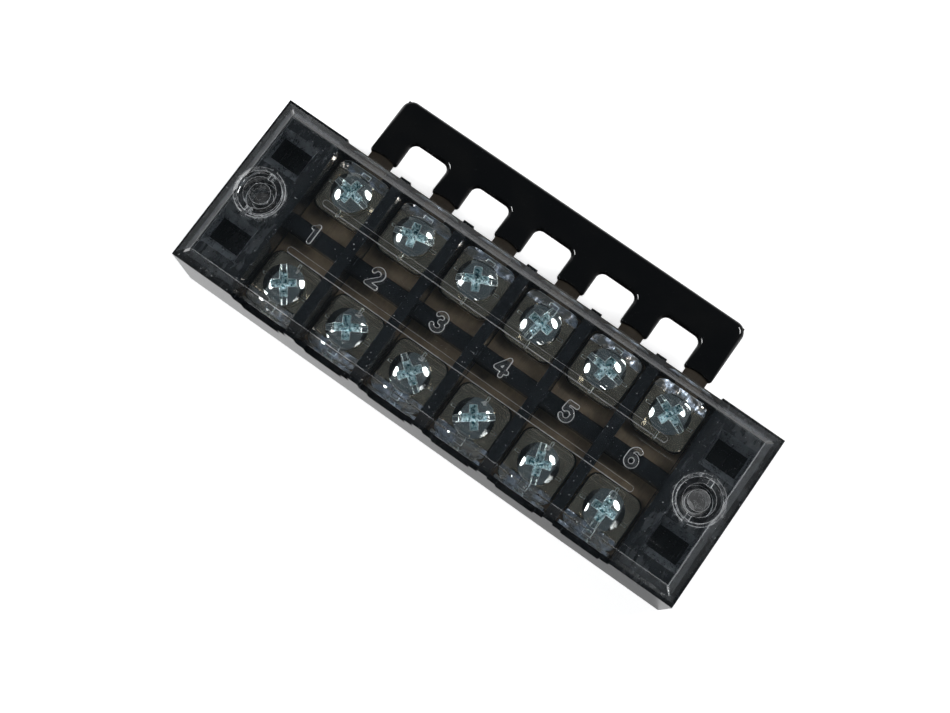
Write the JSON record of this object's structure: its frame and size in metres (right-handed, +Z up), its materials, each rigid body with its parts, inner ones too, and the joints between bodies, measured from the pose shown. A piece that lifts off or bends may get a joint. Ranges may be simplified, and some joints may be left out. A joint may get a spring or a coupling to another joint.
{
  "type": "barrier terminal block",
  "caption": "Long black barrier terminal strip with screw clamps under square washers, a clear lift-off cover with moulded ribs, and a comb jumper clamped along the back row.",
  "frame": {"origin": "on the mounting face, midway between the two mounting holes", "axes": "+X along the row of poles, +Y towards the jumper, +Z up out of the mounting face"},
  "size_m": [0.1004, 0.0464, 0.0201],
  "materials": {
    "housing": "black moulded plastic, glossy on the walls and scuffed on top",
    "cover": "clear moulded plastic with fine scratches",
    "strip": "dull plated brass strip",
    "washer": "zinc plated steel plate",
    "screw": "blue-white zinc plated steel",
    "jumper_metal": "dull plated brass sheet",
    "jumper_coating": "glossy black dipped vinyl"
  },
  "bodies": {
    "base": {"base_housing": "housing", "conductor_strip_1": "strip", "conductor_strip_2": "strip", "conductor_strip_3": "strip", "conductor_strip_4": "strip", "conductor_strip_5": "strip", "conductor_strip_6": "strip"},
    "cover": {"clear_cover": "cover"},
    "jumper": {"jumper_bar": "jumper_metal", "jumper_sleeve": "jumper_coating"},
    "front_washer_1": {"front_washer_1": "washer"},
    "front_screw_1": {"front_screw_1": "screw"},
    "front_washer_2": {"front_washer_2": "washer"},
    "front_screw_2": {"front_screw_2": "screw"},
    "front_washer_3": {"front_washer_3": "washer"},
    "front_screw_3": {"front_screw_3": "screw"},
    "front_washer_4": {"front_washer_4": "washer"},
    "front_screw_4": {"front_screw_4": "screw"},
    "front_washer_5": {"front_washer_5": "washer"},
    "front_screw_5": {"front_screw_5": "screw"},
    "front_washer_6": {"front_washer_6": "washer"},
    "front_screw_6": {"front_screw_6": "screw"},
    "back_washer_1": {"back_washer_1": "washer"},
    "back_screw_1": {"back_screw_1": "screw"},
    "back_washer_2": {"back_washer_2": "washer"},
    "back_screw_2": {"back_screw_2": "screw"},
    "back_washer_3": {"back_washer_3": "washer"},
    "back_screw_3": {"back_screw_3": "screw"},
    "back_washer_4": {"back_washer_4": "washer"},
    "back_screw_4": {"back_screw_4": "screw"},
    "back_washer_5": {"back_washer_5": "washer"},
    "back_screw_5": {"back_screw_5": "screw"},
    "back_washer_6": {"back_washer_6": "washer"},
    "back_screw_6": {"back_screw_6": "screw"}
  },
  "joints": [
    {"name": "cover_lift", "type": "slide", "parent": "base", "child": "cover", "axis": [0, 0, 1], "range_m": [0, 0.025]},
    {"name": "jumper_pull", "type": "slide", "parent": "base", "child": "jumper", "axis": [0, 1, 0], "range_m": [0, 0.014]},
    {"name": "front_washer_1_lift", "type": "slide", "parent": "base", "child": "front_washer_1", "axis": [0, 0, 1], "range_m": [0, 0.0021]},
    {"name": "front_screw_1_turn", "type": "hinge", "parent": "front_washer_1", "child": "front_screw_1", "pos_m": [-0.0325, -0.00955, 0.01], "axis": [0, 0, 1], "range_deg": [0, 1083]},
    {"name": "front_washer_2_lift", "type": "slide", "parent": "base", "child": "front_washer_2", "axis": [0, 0, 1], "range_m": [0, 0.0021]},
    {"name": "front_screw_2_turn", "type": "hinge", "parent": "front_washer_2", "child": "front_screw_2", "pos_m": [-0.0195, -0.00955, 0.01], "axis": [0, 0, 1], "range_deg": [0, 1083]},
    {"name": "front_washer_3_lift", "type": "slide", "parent": "base", "child": "front_washer_3", "axis": [0, 0, 1], "range_m": [0, 0.0021]},
    {"name": "front_screw_3_turn", "type": "hinge", "parent": "front_washer_3", "child": "front_screw_3", "pos_m": [-0.0065, -0.00955, 0.01], "axis": [0, 0, 1], "range_deg": [0, 1083]},
    {"name": "front_washer_4_lift", "type": "slide", "parent": "base", "child": "front_washer_4", "axis": [0, 0, 1], "range_m": [0, 0.0021]},
    {"name": "front_screw_4_turn", "type": "hinge", "parent": "front_washer_4", "child": "front_screw_4", "pos_m": [0.0065, -0.00955, 0.01], "axis": [0, 0, 1], "range_deg": [0, 1083]},
    {"name": "front_washer_5_lift", "type": "slide", "parent": "base", "child": "front_washer_5", "axis": [0, 0, 1], "range_m": [0, 0.0021]},
    {"name": "front_screw_5_turn", "type": "hinge", "parent": "front_washer_5", "child": "front_screw_5", "pos_m": [0.0195, -0.00955, 0.01], "axis": [0, 0, 1], "range_deg": [0, 1083]},
    {"name": "front_washer_6_lift", "type": "slide", "parent": "base", "child": "front_washer_6", "axis": [0, 0, 1], "range_m": [0, 0.0021]},
    {"name": "front_screw_6_turn", "type": "hinge", "parent": "front_washer_6", "child": "front_screw_6", "pos_m": [0.0325, -0.00955, 0.01], "axis": [0, 0, 1], "range_deg": [0, 1083]},
    {"name": "back_washer_1_lift", "type": "slide", "parent": "base", "child": "back_washer_1", "axis": [0, 0, 1], "range_m": [0, 0.0014]},
    {"name": "back_screw_1_turn", "type": "hinge", "parent": "back_washer_1", "child": "back_screw_1", "pos_m": [-0.0325, 0.00955, 0.01], "axis": [0, 0, 1], "range_deg": [0, 722]},
    {"name": "back_washer_2_lift", "type": "slide", "parent": "base", "child": "back_washer_2", "axis": [0, 0, 1], "range_m": [0, 0.0014]},
    {"name": "back_screw_2_turn", "type": "hinge", "parent": "back_washer_2", "child": "back_screw_2", "pos_m": [-0.0195, 0.00955, 0.01], "axis": [0, 0, 1], "range_deg": [0, 722]},
    {"name": "back_washer_3_lift", "type": "slide", "parent": "base", "child": "back_washer_3", "axis": [0, 0, 1], "range_m": [0, 0.0014]},
    {"name": "back_screw_3_turn", "type": "hinge", "parent": "back_washer_3", "child": "back_screw_3", "pos_m": [-0.0065, 0.00955, 0.01], "axis": [0, 0, 1], "range_deg": [0, 722]},
    {"name": "back_washer_4_lift", "type": "slide", "parent": "base", "child": "back_washer_4", "axis": [0, 0, 1], "range_m": [0, 0.0014]},
    {"name": "back_screw_4_turn", "type": "hinge", "parent": "back_washer_4", "child": "back_screw_4", "pos_m": [0.0065, 0.00955, 0.01], "axis": [0, 0, 1], "range_deg": [0, 722]},
    {"name": "back_washer_5_lift", "type": "slide", "parent": "base", "child": "back_washer_5", "axis": [0, 0, 1], "range_m": [0, 0.0014]},
    {"name": "back_screw_5_turn", "type": "hinge", "parent": "back_washer_5", "child": "back_screw_5", "pos_m": [0.0195, 0.00955, 0.01], "axis": [0, 0, 1], "range_deg": [0, 722]},
    {"name": "back_washer_6_lift", "type": "slide", "parent": "base", "child": "back_washer_6", "axis": [0, 0, 1], "range_m": [0, 0.0014]},
    {"name": "back_screw_6_turn", "type": "hinge", "parent": "back_washer_6", "child": "back_screw_6", "pos_m": [0.0325, 0.00955, 0.01], "axis": [0, 0, 1], "range_deg": [0, 722]}
  ],
  "couplings": [
    {"joint": "front_screw_1_turn", "follows": "front_washer_1_lift", "rad_per_m": 8976},
    {"joint": "front_screw_2_turn", "follows": "front_washer_2_lift", "rad_per_m": 8976},
    {"joint": "front_screw_3_turn", "follows": "front_washer_3_lift", "rad_per_m": 8976},
    {"joint": "front_screw_4_turn", "follows": "front_washer_4_lift", "rad_per_m": 8976},
    {"joint": "front_screw_5_turn", "follows": "front_washer_5_lift", "rad_per_m": 8976},
    {"joint": "front_screw_6_turn", "follows": "front_washer_6_lift", "rad_per_m": 8976},
    {"joint": "back_screw_1_turn", "follows": "back_washer_1_lift", "rad_per_m": 8976},
    {"joint": "back_screw_2_turn", "follows": "back_washer_2_lift", "rad_per_m": 8976},
    {"joint": "back_screw_3_turn", "follows": "back_washer_3_lift", "rad_per_m": 8976},
    {"joint": "back_screw_4_turn", "follows": "back_washer_4_lift", "rad_per_m": 8976},
    {"joint": "back_screw_5_turn", "follows": "back_washer_5_lift", "rad_per_m": 8976},
    {"joint": "back_screw_6_turn", "follows": "back_washer_6_lift", "rad_per_m": 8976}
  ]
}
